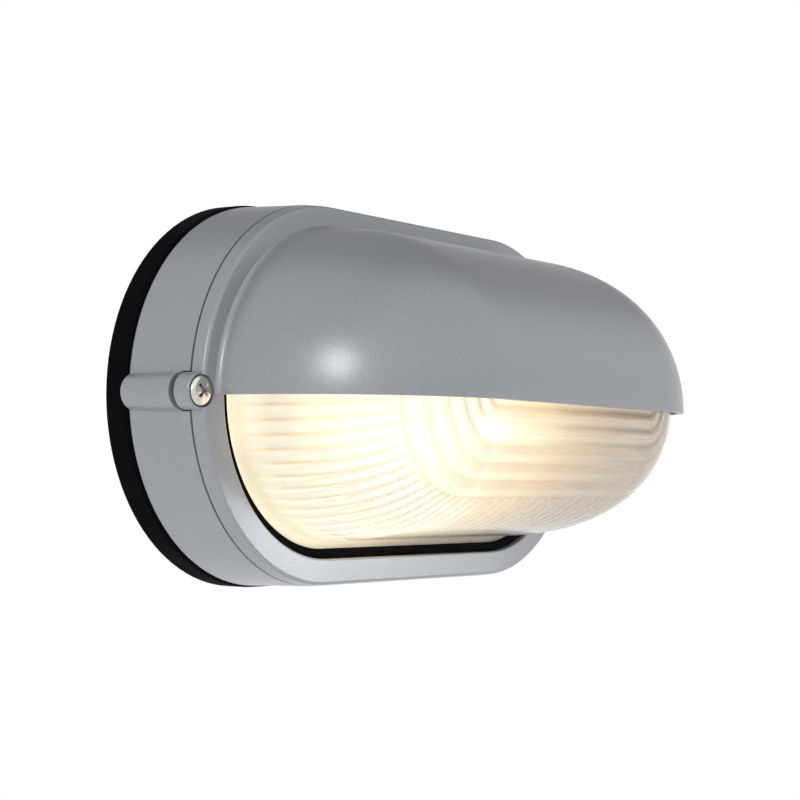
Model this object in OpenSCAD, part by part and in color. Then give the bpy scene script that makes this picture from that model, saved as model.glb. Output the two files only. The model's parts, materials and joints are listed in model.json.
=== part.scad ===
// Oval bulkhead wall light with a cast eyelid visor and a ribbed glass.
// Origin: centre of the wall face. +Z is up, the light stands out along -Y.
// Each part is drawn in wall coordinates (across, up, out) and turned once.

/* [Overall] */
// length of the straight middle of the oval
straight_len = 92; // [70:1:130]
// height over the wall gasket
oval_height = 118; // [112:1:140]
// wall to the nose of the visor
total_depth = 101; // [96:1:125]

/* [Wall gasket] */
// thickness of the rubber pad
gasket_thk = 8; // [4:0.5:10]
// round of its front edge
gasket_round = 1.2; // [0.4:0.1:2]
// clearance of its holes
pad_clear = 1; // [0.6:0.1:1.4]

/* [Base casting] */
// step from the gasket edge to the casting
base_inset = 0.6; // [0.2:0.1:2]
// draft of the side wall over its height
base_draft = 0.8; // [0.2:0.1:2]
// wall to the parting line
rim_out = 30.6; // [28:0.1:36]
// thickness of the back
floor_thk = 3; // [2:0.1:5]
// thickness of the side wall
wall_thk = 5; // [4.6:0.1:6]
// radius of the wall fixing holes
fix_hole_r = 2.6; // [2:0.1:3.2]
// half spacing of the fixing holes across
fix_x = 40; // [34:1:44]
// half spacing of the fixing holes up
fix_z = 38; // [36:1:40]
// height of the pillars on the back
pad_h = 4; // [3:0.5:6]
// radius of the pillars
pillar_r = 4.6; // [4:0.1:5]
// earth pillar across
earth_x = -62; // [-64:1:-58]
// earth pillar up
earth_y = -34; // [-36:1:-30]

/* [Cable entry] */
// cable entry across
cable_x = -44; // [-46:1:-36]
// radius of the grommet in the back
grommet_r = 8; // [7:0.5:9]
// radius of the hole for the cable
cable_r = 4.5; // [3:0.5:5]
// width of the grommet flanges
grommet_flange = 2.4; // [1.6:0.1:3]
// thickness of the grommet flanges
grommet_thk = 1.6; // [1:0.1:2]
// height of the cone that seals on the cable
grommet_cone = 1.2; // [0.8:0.1:2]

/* [Cover frame] */
// gap at the parting line
parting_gap = 0.4; // [0.2:0.05:0.8]
// wall to the front face of the frame
face_out = 36; // [34.5:0.1:40]
// fall of the front face from its middle to either edge
face_fall = 0.4; // [0:0.1:0.6]
// round of the outer front edge
face_round = 1.3; // [0.6:0.1:2.4]
// thickness of the skirt
skirt_thk = 2.5; // [2.4:0.1:2.8]
// thickness of the front ring
ring_thk = 2.6; // [2:0.1:3.2]
// distance from the outer edge to the opening
ring_width = 8.4; // [7:0.1:9]

/* [Visor] */
// step from the gasket edge to the visor
visor_inset = 7; // [6:0.1:8]
// lower edge of the visor below the centre line
visor_drop = 1.9; // [0:0.1:4]
// wall thickness of the visor
visor_thk = 2.2; // [1.8:0.1:2.6]
// fullness of the visor curve, 1 is an ellipse
visor_power = 0.89; // [0.8:0.01:1]
// fillet between visor and frame
visor_fillet = 2.4; // [1:0.1:3]

/* [Glass] */
// step from the gasket edge to the glass dome
glass_inset = 15.2; // [14.5:0.1:17]
// visor nose to glass nose
glass_gap = 3.8; // [3.4:0.1:6]
// wall thickness of the glass
glass_thk = 3; // [2.4:0.1:3.6]
// fullness of the glass curve, 1 is an ellipse
glass_power = 0.84; // [0.8:0.01:0.95]
// flare of the glass foot
glass_flare = 2.3; // [1:0.1:2.4]
// thickness of the clamped rim
rim_thk = 2.2; // [1.8:0.1:2.6]
// pitch of the ring ribs
ring_pitch = 4.7; // [3.5:0.1:6]
// number of ring ribs
ring_count = 6; // [3:1:6]
// height of the ring ribs
ring_rib = 0.7; // [0.3:0.1:1]
// angle between the radial ribs of the ends
rib_step = 6; // [6:1:12]
// radial ribs on each straight side
side_ribs = 18; // [8:1:20]
// width of a radial rib
rib_w = 1.4; // [1:0.1:2]
// height of a radial rib
rib_h = 0.7; // [0.4:0.1:1]

/* [Glass gasket] */
// rubber thickness on each side of the rim
pad_thk = 0.8; // [0.6:0.1:1]
// height of the lip in the opening
lip_h = 1.4; // [0.8:0.1:1.5]

/* [Cover screws] */
// screw axis inside the edge of the wall gasket
screw_inset = 1.5; // [0.5:0.1:1.8]
// screw axis below the centre line
screw_drop = 1.1; // [0:0.1:2]
// radius of boss and lug
boss_r = 5.3; // [5:0.1:6]
// top of the base boss below the parting line
boss_low = 3; // [2.4:0.1:4]
// front of the lug behind the front face
lug_low = 1.2; // [0.6:0.1:1.4]
// radius of the shank
shank_r = 1.7; // [1.4:0.1:2]
// radius of the head
head_r = 4.3; // [3.6:0.1:4.4]
// height of the head
head_h = 2.4; // [1.8:0.1:3]

/* [Small screws] */
// shank radius of the bracket, holder and earth screws
small_r = 1.6; // [1.4:0.1:1.8]
// head radius of the same screws
small_head_r = 3.2; // [2.8:0.1:3.4]
// head height of the same screws
small_head_h = 2.2; // [1.6:0.1:2.4]
// shank radius of the block screws
block_r = 1.3; // [1:0.1:1.4]
// head radius of the block screws
block_head_r = 2.1; // [1.8:0.1:2.2]
// head height of the block screws
block_head_h = 1.5; // [1:0.1:1.8]

/* [Lamp] */
// radius of the bulb
lamp_r = 30; // [24:0.5:31]
// centre of the bulb across
lamp_x = -28; // [-32:1:-24]
// lamp axis out from the wall
lamp_out = 48; // [46:0.5:50]
// bulb centre to the cap
neck_len = 48; // [44:1:52]
// radius of the cap
cap_r = 13; // [12:0.1:13.2]
// length of the cap
cap_len = 24; // [22:0.5:26]
// height of the cone at its end
cap_cone = 4; // [3:0.1:5]
// radius of its end contact
cap_tip_r = 4.6; // [4:0.1:5]

/* [Lampholder] */
// outer radius of the porcelain body
holder_r = 21; // [20:0.5:22]
// length of the porcelain body
holder_len = 44; // [42:1:48]
// half spacing of the two screws in its back
holder_screw_y = 8; // [7:0.5:9]
// depth of the threads in its back
holder_thread = 8; // [6:0.5:9]
// length of its narrow back
holder_waist = 14; // [12:0.5:16]
// round of its front and step of its back
holder_round = 2; // [1:0.1:2.4]
// radius of the contact plate
contact_r = 7; // [6:0.1:8]
// thickness of the contact plate
contact_thk = 0.8; // [0.6:0.1:1]
// thickness of the threaded shell
shell_thk = 0.6; // [0.4:0.1:0.8]
// thickness of the bracket sheet
sheet_thk = 1.6; // [1:0.1:2]
// width of the bracket
bracket_w = 30; // [26:1:34]
// length of the bracket foot
foot_len = 17; // [14:1:18]

/* [Terminals] */
// pitch of the terminals
term_pitch = 10; // [9:0.5:11]
// left end of the block
term_x = -86; // [-88:1:-84]
// length of the block
term_len = 20; // [18:1:22]
// height of the block
term_h = 15; // [14:0.5:17]
// radius of a lead with its cover
lead_r = 1.2; // [0.8:0.1:1.4]

/* [Leads] */
// end of a lead held in a terminal
lead_grip = 6; // [4:0.5:8]
// straight run of a lead before a bend
lead_run = 4; // [2:0.5:6]
// lane of the leads on either side of the lamp
lead_lane = 25; // [24:0.5:30]
// climb of a lead beside the holder
lead_climb = 10; // [8:0.5:14]
// distance of a lead from the side of the holder
lead_stand = 6; // [4:0.5:8]
// depth of the lead holes in the holder
lead_hole = 5; // [4:0.5:6]
// lead holes before the back of the holder
lead_back = 7; // [6:0.5:9]
// radius of the earth tag
tag_r = 4.2; // [4:0.1:4.5]
// thickness of the earth tag
tag_thk = 0.8; // [0.6:0.1:1]

/* [Fits] */
// play between parts that move on each other
play = 0.35; // [0.3:0.05:0.5]
// play between fixed parts
fit = 0.1; // [0.05:0.05:0.2]

/* [Hidden] */
$fn = 96;
half_l = straight_len / 2;
gasket_r = oval_height / 2;
base_r = gasket_r - base_inset;
rim_r = base_r - base_draft;
floor_out = gasket_thk + floor_thk;
skirt_out = rim_out + parting_gap;
skirt_in_r = rim_r - skirt_thk;
under_out = face_out - ring_thk;
open_r = rim_r - ring_width;
visor_r = gasket_r - visor_inset;
glass_r = gasket_r - glass_inset;
glass_nose = total_depth - glass_gap;
glass_top = under_out - pad_thk;
glass_low = glass_top - rim_thk;
glass_rim_r = skirt_in_r - 3.6;
pad_low = glass_low - pad_thk;
land_out = pad_low - play;
land_r = rim_r - wall_thk;
screw_x = half_l + gasket_r - screw_inset;
boss_out = rim_out - boss_low;
lug_front = face_out - lug_low;
lug_back = boss_out + 1.6;
washer_thk = 1;
washer_r = boss_r - 1.4;
seat_out = lug_front - 1;
ring_r_max = ring_count * ring_pitch;
cap_x = lamp_x + neck_len;
holder_lap = 4;
holder_x = cap_x + holder_lap;
holder_back = holder_x + holder_len;
holder_bore = cap_r + 1.5;
tip_h = 0.6;
contact_x = cap_x + cap_len + 1.5;
lead_in_x = holder_back - lead_back;
tip_gap = 0.5;
foot_out = floor_out + pad_h;
screw_y = bracket_w * 0.3;
foot_x = holder_back + sheet_thk + foot_len * 0.6;
term_y = [-term_pitch, 0, term_pitch];
term_hole_out = floor_out + term_h * 0.45;
sleeve_r = 3;
bend_extra = 0.06;

// points on an arc
function arc(c, r, a0, a1, n) =
    [for (i = [0 : n]) c + r * [cos(a0 + (a1 - a0) * i / n), sin(a0 + (a1 - a0) * i / n)]];

// full curve of a dome: r across, out from the base line
function dome(r, base, depth, p, n) =
    [for (i = [0 : n]) let (a = 90 * i / n)
        [i == n ? 0 : r * pow(cos(a), p), base + depth * (i == 0 ? 0 : pow(sin(a), p))]];

// out position of the same curve above the radius x
function dome_out(x, r, base, depth, p) =
    base + depth * pow(max(0, 1 - pow(x / r, 2 / p)), p / 2);

// wall coordinates to world
module on_wall() {
    rotate([90, 0, 0])
        children();
}

// sweep a half profile round the oval
module oval() {
    for (side = [-1, 1]) {
        translate([side * half_l, 0, 0])
            rotate([0, 0, -90 * side])
                rotate_extrude(angle = 180)
                    children();
        rotate([0, 0, side > 0 ? 0 : 180])
            translate([-half_l, 0, 0])
                rotate([90, 0, 90])
                    linear_extrude(straight_len)
                        children();
    }
}

// sweep a half profile round the upper half of the oval
module upper_oval() {
    for (side = [-1, 1])
        translate([side * half_l, 0, 0])
            rotate([0, 0, side > 0 ? 0 : 90])
                rotate_extrude(angle = 90)
                    children();
    translate([-half_l, 0, 0])
        rotate([90, 0, 90])
            linear_extrude(straight_len)
                children();
}

// plain oval disc between two levels
module oval_disc(r, low, high) {
    oval()
        translate([0, low])
            square([r, high - low]);
}

// repeat at both screw axes
module at_screws(sides = [-1, 1]) {
    for (side = sides)
        translate([side * screw_x, -screw_drop, 0])
            children();
}

// repeat at the wall fixing holes
module at_fixings() {
    for (sx = [-1, 1])
        for (sy = [-1, 1])
            translate([sx * fix_x, sy * fix_z, 0])
                children();
}

// cylinder between two levels
module post(r, low, high) {
    translate([0, 0, low])
        cylinder(r = r, h = high - low);
}

// cylinder along the lamp axis
module along(r, from, to) {
    translate([from, 0, lamp_out])
        rotate([0, 90, 0])
            cylinder(r = r, h = to - from);
}

// cross recess
module cross_recess(size, depth, top) {
    for (a = [45, 135])
        rotate([0, 0, a])
            translate([-size / 2, -size / 10, top - depth])
                cube([size, size / 5, depth + 1]);
}

// pan head screw pointing to the wall, underside of the head at seat
module pan_screw(hr, hh, sr, seat, tip) {
    difference() {
        union() {
            rotate_extrude()
                polygon(concat([[0, seat], [hr, seat]],
                    arc([hr - hh * 0.6, seat + hh * 0.4], hh * 0.6, 0, 90, 6),
                    [[0, seat + hh]]));
            post(sr, tip, seat);
        }
        cross_recess(hr * 1.2, hh * 0.6, seat + hh);
    }
}

// round lead along a list of points, the bends a little fuller than the run
module lead(points, r) {
    for (i = [0 : len(points) - 2]) {
        v = points[i + 1] - points[i];
        translate(points[i])
            rotate([0, acos(v[2] / norm(v)), atan2(v[1], v[0])])
                cylinder(r = r, h = norm(v));
    }
    for (i = [1 : len(points) - 2])
        translate(points[i])
            sphere(r = r + bend_extra);
}

// black rubber pad between the wall and the base
module wall_gasket() {
    color("#151518")
        on_wall()
            difference() {
                oval()
                    polygon(concat([[0, 0], [gasket_r, 0]],
                        arc([gasket_r - gasket_round, gasket_thk - gasket_round],
                            gasket_round, 0, 90, 5),
                        [[0, gasket_thk]]));
                at_fixings()
                    post(fix_hole_r + pad_clear * 0.6, -1, gasket_thk + 1);
                translate([cable_x, 0, 0])
                    post(grommet_r + grommet_flange + pad_clear, -1, gasket_thk + 1);
            }
}

// outline of the base wall: tub with a step for the glass gasket
module base_profile() {
    back_round = 1;
    polygon(concat([[0, gasket_thk]],
        arc([base_r - back_round, gasket_thk + back_round], back_round, -90, 0, 4),
        [[rim_r, rim_out], [skirt_in_r, rim_out], [skirt_in_r, land_out], [land_r, land_out],
            [land_r - base_draft, floor_out + 2], [land_r - base_draft - 2, floor_out],
            [0, floor_out]]));
}

// die-cast tub
module base_casting() {
    color("#96989b")
        on_wall()
            difference() {
                union() {
                    oval()
                        base_profile();
                    at_screws()
                        rotate_extrude()
                            polygon(concat([[0, gasket_thk + 0.6]],
                                arc([boss_r - 1.4, gasket_thk + 2], 1.4, -90, 0, 4),
                                [[boss_r, boss_out], [0, boss_out]]));
                    for (sy = [-1, 1])
                        translate([foot_x, sy * screw_y, 0])
                            post(pillar_r, floor_out - 1, foot_out);
                    translate([earth_x, earth_y, 0])
                        post(pillar_r, floor_out - 1, foot_out);
                }
                difference() {
                    at_screws()
                        post(boss_r + play, boss_out, rim_out + 1);
                    oval_disc(skirt_in_r - play, boss_out - 1, rim_out + 2);
                }
                at_screws()
                    post(shank_r + play, floor_out + 1, rim_out + 1);
                for (sy = [-1, 1])
                    translate([foot_x, sy * screw_y, 0])
                        post(small_r + fit, floor_out, foot_out + 1);
                translate([earth_x, earth_y, 0])
                    post(small_r + fit, floor_out, foot_out + 1);
                for (y = [-0.5, 0.5] * term_pitch)
                    translate([term_x + term_len / 2, y, 0])
                        post(block_r + fit, gasket_thk + 1, floor_out + 1);
                at_fixings()
                    post(fix_hole_r, gasket_thk - 1, floor_out + 1);
                translate([cable_x, 0, 0])
                    post(grommet_r + fit, gasket_thk - 1, floor_out + 1);
            }
}

// rubber grommet at the cable entry in the back
module cable_grommet() {
    flange_r = grommet_r + grommet_flange;
    top = floor_out + grommet_thk;
    color("#1c1c1e")
        on_wall()
            translate([cable_x, 0, 0])
                rotate_extrude()
                    polygon([[cable_r, gasket_thk - grommet_thk],
                        [flange_r, gasket_thk - grommet_thk],
                        [flange_r, gasket_thk], [grommet_r, gasket_thk],
                        [grommet_r, floor_out], [flange_r, floor_out],
                        [flange_r - grommet_thk / 2, top],
                        [cable_r + grommet_thk * 0.6, top + grommet_cone],
                        [cable_r, top + grommet_cone]]);
}

// three-way terminal block
module terminal_block() {
    color("#e9e6dc")
        on_wall()
            difference() {
                union() {
                    for (y = term_y)
                        translate([term_x, y - term_pitch * 0.46, floor_out])
                            cube([term_len, term_pitch * 0.92, term_h]);
                    translate([term_x, -term_pitch * 1.2, floor_out])
                        cube([term_len, term_pitch * 2.4, term_h * 0.75]);
                }
                for (y = term_y)
                    translate([term_x, y, term_hole_out])
                        rotate([0, 90, 0])
                            translate([0, 0, -1])
                                cylinder(r = sleeve_r + fit, h = term_len + 2);
                for (y = term_y)
                    for (x = [0.25, 0.75] * term_len)
                        translate([term_x + x, y, 0])
                            post(2 + fit, term_hole_out, floor_out + term_h + 1);
                for (y = [-0.5, 0.5] * term_pitch)
                    translate([term_x + term_len / 2, y, 0])
                        post(block_r + fit, floor_out - 1, floor_out + term_h + 1);
                for (y = [-0.5, 0.5] * term_pitch)
                    translate([term_x + term_len / 2, y, 0])
                        post(block_head_r + 2 * fit, floor_out + term_h * 0.5, floor_out + term_h + 1);
            }
}

// brass sleeves of the terminals
module terminal_sleeves() {
    color("#c9a24a")
        on_wall()
            for (y = term_y)
                difference() {
                    translate([term_x + 1, y, term_hole_out])
                        rotate([0, 90, 0])
                            cylinder(r = sleeve_r, h = term_len - 2);
                    translate([term_x, y, term_hole_out])
                        rotate([0, 90, 0])
                            cylinder(r = lead_r + 0.4, h = term_len + 2);
                    for (x = [0.25, 0.75] * term_len)
                        translate([term_x + x, y, 0])
                            post(1.4 + fit, term_hole_out, floor_out + term_h + 1);
                }
}

// clamp screws of the terminals
module terminal_screws() {
    slot = 0.6;
    color("#b8b8b4")
        on_wall()
            for (y = term_y)
                for (x = [0.25, 0.75] * term_len)
                    translate([term_x + x, y, 0])
                        difference() {
                            union() {
                                post(1.4, term_hole_out + lead_r + 0.1, floor_out + term_h - 3);
                                post(1.9, term_hole_out + sleeve_r + fit, floor_out + term_h - 1.6);
                            }
                            translate([-2.5, -slot / 2, floor_out + term_h - 2.4])
                                cube([5, slot, 2]);
                        }
}

// two screws holding the terminal block
module block_screws() {
    seat = floor_out + term_h * 0.5;
    color("#b8b8b4")
        on_wall()
            for (y = [-0.5, 0.5] * term_pitch)
                translate([term_x + term_len / 2, y, 0])
                    pan_screw(block_head_r, block_head_h, block_r, seat, gasket_thk + 1 + tip_gap);
}

// earth screw on its boss
module earth_screw() {
    color("#c9b36a")
        on_wall()
            translate([earth_x, earth_y, 0])
                pan_screw(small_head_r, small_head_h, small_r, foot_out + tag_thk, floor_out + tip_gap);
}

// earth lead from the block to a ring tag on the earth boss
module earth_lead() {
    tail = tag_r * 2.6;
    bed = foot_out + tag_thk + lead_r * 0.7;
    color("#5f9a3c")
        on_wall() {
            difference() {
                union() {
                    translate([earth_x, earth_y, 0])
                        post(tag_r, foot_out, foot_out + tag_thk);
                    translate([earth_x - lead_r, earth_y, foot_out])
                        cube([2 * lead_r, tail, tag_thk]);
                }
                translate([earth_x, earth_y, 0])
                    post(small_r + fit, foot_out - 1, foot_out + 3);
            }
            lead([[term_x + term_len - lead_grip, -term_pitch, term_hole_out],
                [term_x + term_len + lead_run, -term_pitch, term_hole_out],
                [earth_x, earth_y + tail + lead_run, bed],
                [earth_x, earth_y + tag_r + lead_r / 2, bed]], lead_r);
        }
}

// path of a lead from a terminal along the floor to one side of the holder
function holder_path(y, side) =
    let (low = floor_out + lead_r + 2 * fit, x1 = term_x + term_len, stand = holder_r + lead_stand)
    [[x1 - lead_grip, y, term_hole_out], [x1 + lead_run, y, term_hole_out],
        [cable_x, side * lead_lane, low],
        [lead_in_x - 2 * lead_run, side * (holder_r + lead_hole), low],
        [lead_in_x, side * stand, low + lead_climb],
        [lead_in_x, side * stand, lamp_out - lead_stand],
        [lead_in_x, side * (stand - lead_run), lamp_out],
        [lead_in_x, side * (holder_r - lead_hole * 0.8), lamp_out]];

// live lead
module live_lead() {
    color("#7a4a2c")
        on_wall()
            lead(holder_path(term_pitch, 1), lead_r);
}

// neutral lead
module neutral_lead() {
    color("#3c5fa0")
        on_wall()
            lead(holder_path(0, -1), lead_r);
}

// bent sheet bracket of the lampholder
module holder_bracket() {
    color("#b9bcbf")
        on_wall()
            difference() {
                union() {
                    translate([holder_back, -bracket_w / 2, foot_out])
                        cube([sheet_thk, bracket_w, lamp_out - foot_out]);
                    along(bracket_w / 2, holder_back, holder_back + sheet_thk);
                    translate([holder_back, -bracket_w / 2, foot_out])
                        cube([sheet_thk + foot_len, bracket_w, sheet_thk]);
                }
                for (sy = [-1, 1])
                    translate([foot_x, sy * screw_y, 0])
                        post(small_r + fit, foot_out - 1, foot_out + sheet_thk + 1);
                for (sy = [-1, 1])
                    translate([0, sy * holder_screw_y, 0])
                        along(small_r + fit, holder_back - 1, holder_back + sheet_thk + 1);
            }
}

// screws of the bracket foot
module bracket_screws() {
    color("#b8b8b4")
        on_wall()
            for (sy = [-1, 1])
                translate([foot_x, sy * screw_y, 0])
                    pan_screw(small_head_r, small_head_h, small_r, foot_out + sheet_thk,
                        floor_out + tip_gap);
}

// porcelain body of the lampholder
module holder_body() {
    waist_r = holder_r - holder_round;
    color("#efece4")
        on_wall()
            difference() {
                translate([0, 0, lamp_out])
                    rotate([0, 90, 0])
                        rotate_extrude()
                            polygon(concat([[0, holder_x]],
                                arc([waist_r, holder_x + holder_round], holder_round, -90, 0, 5),
                                [[holder_r, holder_back - holder_waist - holder_round],
                                    [waist_r, holder_back - holder_waist],
                                    [waist_r, holder_back], [0, holder_back]]));
                along(holder_bore, holder_x - 1, contact_x + 2 * fit + contact_thk);
                for (sy = [-1, 1])
                    translate([0, sy * holder_screw_y, 0])
                        along(small_r + fit, holder_back - holder_thread, holder_back + 1);
                for (sy = [-1, 1])
                    translate([lead_in_x, sy * (holder_r - lead_hole), lamp_out])
                        rotate([-90 * sy, 0, 0])
                            cylinder(r = lead_r + 3 * fit, h = lead_hole + 3);
            }
}

// threaded shell of the lampholder
module holder_shell() {
    color("#c9b36a")
        on_wall()
            difference() {
                along(holder_bore - fit, cap_x + 2 * holder_lap, contact_x);
                along(holder_bore - fit - shell_thk, holder_x, contact_x + 1);
            }
}

// centre contact of the lampholder
module holder_contact() {
    color("#c9b36a")
        on_wall() {
            along(contact_r, contact_x + 2 * fit, contact_x + 2 * fit + contact_thk);
            along(contact_r * 0.43, contact_x - tip_h, contact_x + 2 * fit);
        }
}

// two screws from the bracket into the holder
module holder_screws() {
    color("#b8b8b4")
        on_wall()
            for (sy = [-1, 1])
                translate([0, sy * holder_screw_y, lamp_out])
                    rotate([0, 90, 0])
                        pan_screw(small_head_r, small_head_h, small_r, holder_back + sheet_thk,
                            holder_back - holder_thread + tip_gap);
}

// lamp: bulb, neck and cap as one solid
module lamp() {
    join_a = 40;
    cone_x = cap_x + cap_len - cap_cone - 1;
    jx = lamp_x + lamp_r * sin(join_a);
    jr = lamp_r * cos(join_a);
    color("#fff3cf")
        on_wall()
            translate([0, 0, lamp_out])
                rotate([0, 90, 0])
                    rotate_extrude()
                        polygon(concat(
                            [for (i = [0 : 20]) let (a = -90 + (90 + join_a) * i / 20)
                                [i == 0 ? 0 : lamp_r * cos(a), lamp_x + lamp_r * sin(a)]],
                            [for (i = [1 : 8]) let (t = i / 8)
                                [cap_r - 0.6 + (jr - cap_r + 0.6) * pow(1 - t, 1.6),
                                    jx + (cap_x - jx) * t]],
                            [[cap_r, cap_x], [cap_r, cone_x], [cap_r - cap_cone - 1, cone_x + cap_cone],
                                [cap_tip_r, cone_x + cap_cone], [cap_tip_r, contact_x - tip_h],
                                [0, contact_x - tip_h]]));
}

// ring, skirt and opening of the cover
module frame_profile() {
    edge = 0.7;
    top_r = rim_r - 0.5;
    polygon(concat([[skirt_in_r, skirt_out], [rim_r - 0.1, skirt_out]],
        arc([top_r - face_round, face_out - face_fall - face_round], face_round, 0, 90, 6),
        arc([open_r + edge, face_out + face_fall - edge], edge, 90, 180, 4),
        [[open_r, under_out], [skirt_in_r, under_out]]));
}

// half profile of the visor with its fillet
module visor_profile() {
    depth = total_depth - face_out;
    root = under_out + lip_h + 0.5;
    outer = dome(visor_r, face_out, depth, visor_power, 30);
    inner = dome(visor_r - visor_thk, face_out, depth - visor_thk, visor_power, 30);
    curve = [for (p = outer) if (p[1] > face_out + visor_fillet) p];
    foot = [visor_r + visor_fillet, face_out + visor_fillet];
    polygon(concat([[visor_r, under_out + 0.6], [visor_r + visor_fillet, under_out + 0.6]],
        arc(foot, visor_fillet, 270, 180, 6), curve,
        [for (i = [30 : -1 : 1]) inner[i]], [[visor_r - visor_thk, root], [visor_r, root]]));
}

// cover: frame with the eyelid visor and two screw lugs, one casting
module cover_casting() {
    color("#a0a3a8")
        on_wall()
            difference() {
                union() {
                    oval()
                        frame_profile();
                    translate([0, -visor_drop, 0])
                        upper_oval()
                            visor_profile();
                    difference() {
                        at_screws()
                            rotate_extrude()
                                polygon(concat([[0, lug_back], [boss_r, lug_back]],
                                    arc([boss_r - 0.6, lug_front - 0.6], 0.6, 0, 90, 3),
                                    [[0, lug_front]]));
                        oval_disc(skirt_in_r, lug_back - 1, under_out);
                        oval_disc(open_r, under_out - 1, lug_front + 1);
                    }
                }
                at_screws()
                    post(shank_r + play, lug_back - 1, lug_front + 1);
                at_screws()
                    post(head_r + play, seat_out, face_out + 9);
            }
}

// inner surface of the glass with the ring ribs in its middle
function glass_inner(depth) =
    let (r = glass_r - glass_thk, d = depth - glass_thk, m = ring_count * 6)
    concat([for (i = [0 : m]) let (x = ring_r_max * i / m)
            [x, dome_out(x, r, glass_top, d, glass_power)
                - ring_rib * (0.5 - 0.5 * cos(360 * x / ring_pitch))]],
        [for (i = [1 : 14]) let (t = 1 - pow(1 - i / 14, 2), x = ring_r_max + (r - ring_r_max) * t)
            if (i < 14) [x, dome_out(x, r, glass_top, d, glass_power)]],
        [[r, glass_top], [r, glass_low]]);

// wall of the glass with flared foot and clamped rim
module glass_profile() {
    depth = glass_nose - glass_top;
    outer = dome(glass_r, glass_top, depth, glass_power, 34);
    flare_h = glass_flare * 2;
    polygon(concat(glass_inner(depth), [[glass_rim_r, glass_low], [glass_rim_r, glass_top],
            [glass_r + glass_flare, glass_top]],
        [for (i = [0 : 5]) let (a = 90 * i / 5)
            [glass_r + glass_flare * (1 - sin(a)), glass_top + 1 + flare_h * (1 - cos(a))]],
        [for (p = outer) if (p[1] > glass_top + flare_h + 1.5) p]));
}

// band on the inside of the glass from which the radial ribs are cut
module rib_band() {
    r = glass_r - glass_thk;
    d = glass_nose - glass_top - glass_thk;
    n = 8;
    start = ring_r_max + 1;
    edge = [for (i = [0 : n]) let (x = start + (r - start) * (1 - pow(1 - i / n, 2)))
        [x, i == n ? glass_top + 6 : dome_out(x, r, glass_top, d, glass_power)]];
    polygon(concat([for (p = edge) p + [0.4, 0.4]],
        [for (i = [n : -1 : 0]) edge[i] - [rib_h, rib_h] * 0.75]));
}

// radial ribs: blades through the band
module glass_ribs() {
    long = glass_r + 2;
    intersection() {
        oval()
            rib_band();
        union() {
            for (side = [-1, 1])
                for (a = [rib_step / 2 : rib_step : 180])
                    translate([side * half_l, 0, 0])
                        rotate([0, 0, side * (a - 90) + (side > 0 ? 0 : 180)])
                            translate([ring_r_max - 2, -rib_w / 2, glass_low])
                                cube([long - ring_r_max, rib_w, glass_nose - glass_low]);
            for (i = [0 : side_ribs - 1])
                for (sy = [-1, 1])
                    translate([(i + 0.5 - side_ribs / 2) * straight_len / side_ribs - rib_w / 2,
                        sy > 0 ? ring_r_max - 2 : -long, glass_low])
                        cube([rib_w, long - ring_r_max + 2, glass_nose - glass_low]);
        }
    }
}

// pressed glass dome with ribs on the inside
module glass_diffuser() {
    color("#fbf4e2")
        on_wall()
            union() {
                oval()
                    glass_profile();
                glass_ribs();
            }
}

// rubber channel round the glass rim with a lip in the opening
module glass_gasket() {
    wide_r = skirt_in_r - 0.3;
    foot_r = glass_r + glass_flare + fit;
    slope = lip_h * 0.4;
    grip = 2.5;
    color("#121212")
        on_wall()
            oval()
                polygon([[glass_rim_r - grip, pad_low], [wide_r, pad_low], [wide_r, under_out],
                    [open_r - fit, under_out], [open_r - fit, under_out + lip_h - slope],
                    [foot_r + 0.5, under_out + lip_h], [foot_r, under_out + lip_h - slope],
                    [foot_r, glass_top], [glass_rim_r, glass_top], [glass_rim_r, glass_low],
                    [glass_rim_r - grip, glass_low]]);
}

// washers that keep the screws in the cover, flat on the inner side
module captive_washers() {
    color("#4a2c26")
        on_wall()
            difference() {
                at_screws()
                    post(washer_r, lug_back - washer_thk, lug_back);
                at_screws()
                    post(shank_r + play, lug_back - 2, lug_back + 1);
                oval_disc(skirt_in_r, lug_back - 2, lug_back + 1);
            }
}

// cover screw at one end
module cover_screw(side) {
    color("#c4c2ba")
        on_wall()
            at_screws([side])
                pan_screw(head_r, head_h, shank_r, seat_out, floor_out + 2);
}

module cover_screw_left() {
    cover_screw(-1);
}

module cover_screw_right() {
    cover_screw(1);
}

wall_gasket();
base_casting();
cable_grommet();
terminal_block();
terminal_sleeves();
terminal_screws();
block_screws();
earth_screw();
earth_lead();
live_lead();
neutral_lead();
holder_bracket();
bracket_screws();
holder_body();
holder_shell();
holder_contact();
holder_screws();
lamp();
cover_casting();
glass_diffuser();
glass_gasket();
captive_washers();
cover_screw_left();
cover_screw_right();
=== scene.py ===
import json
import math

import bmesh
import bpy
from mathutils import Matrix, Vector


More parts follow.
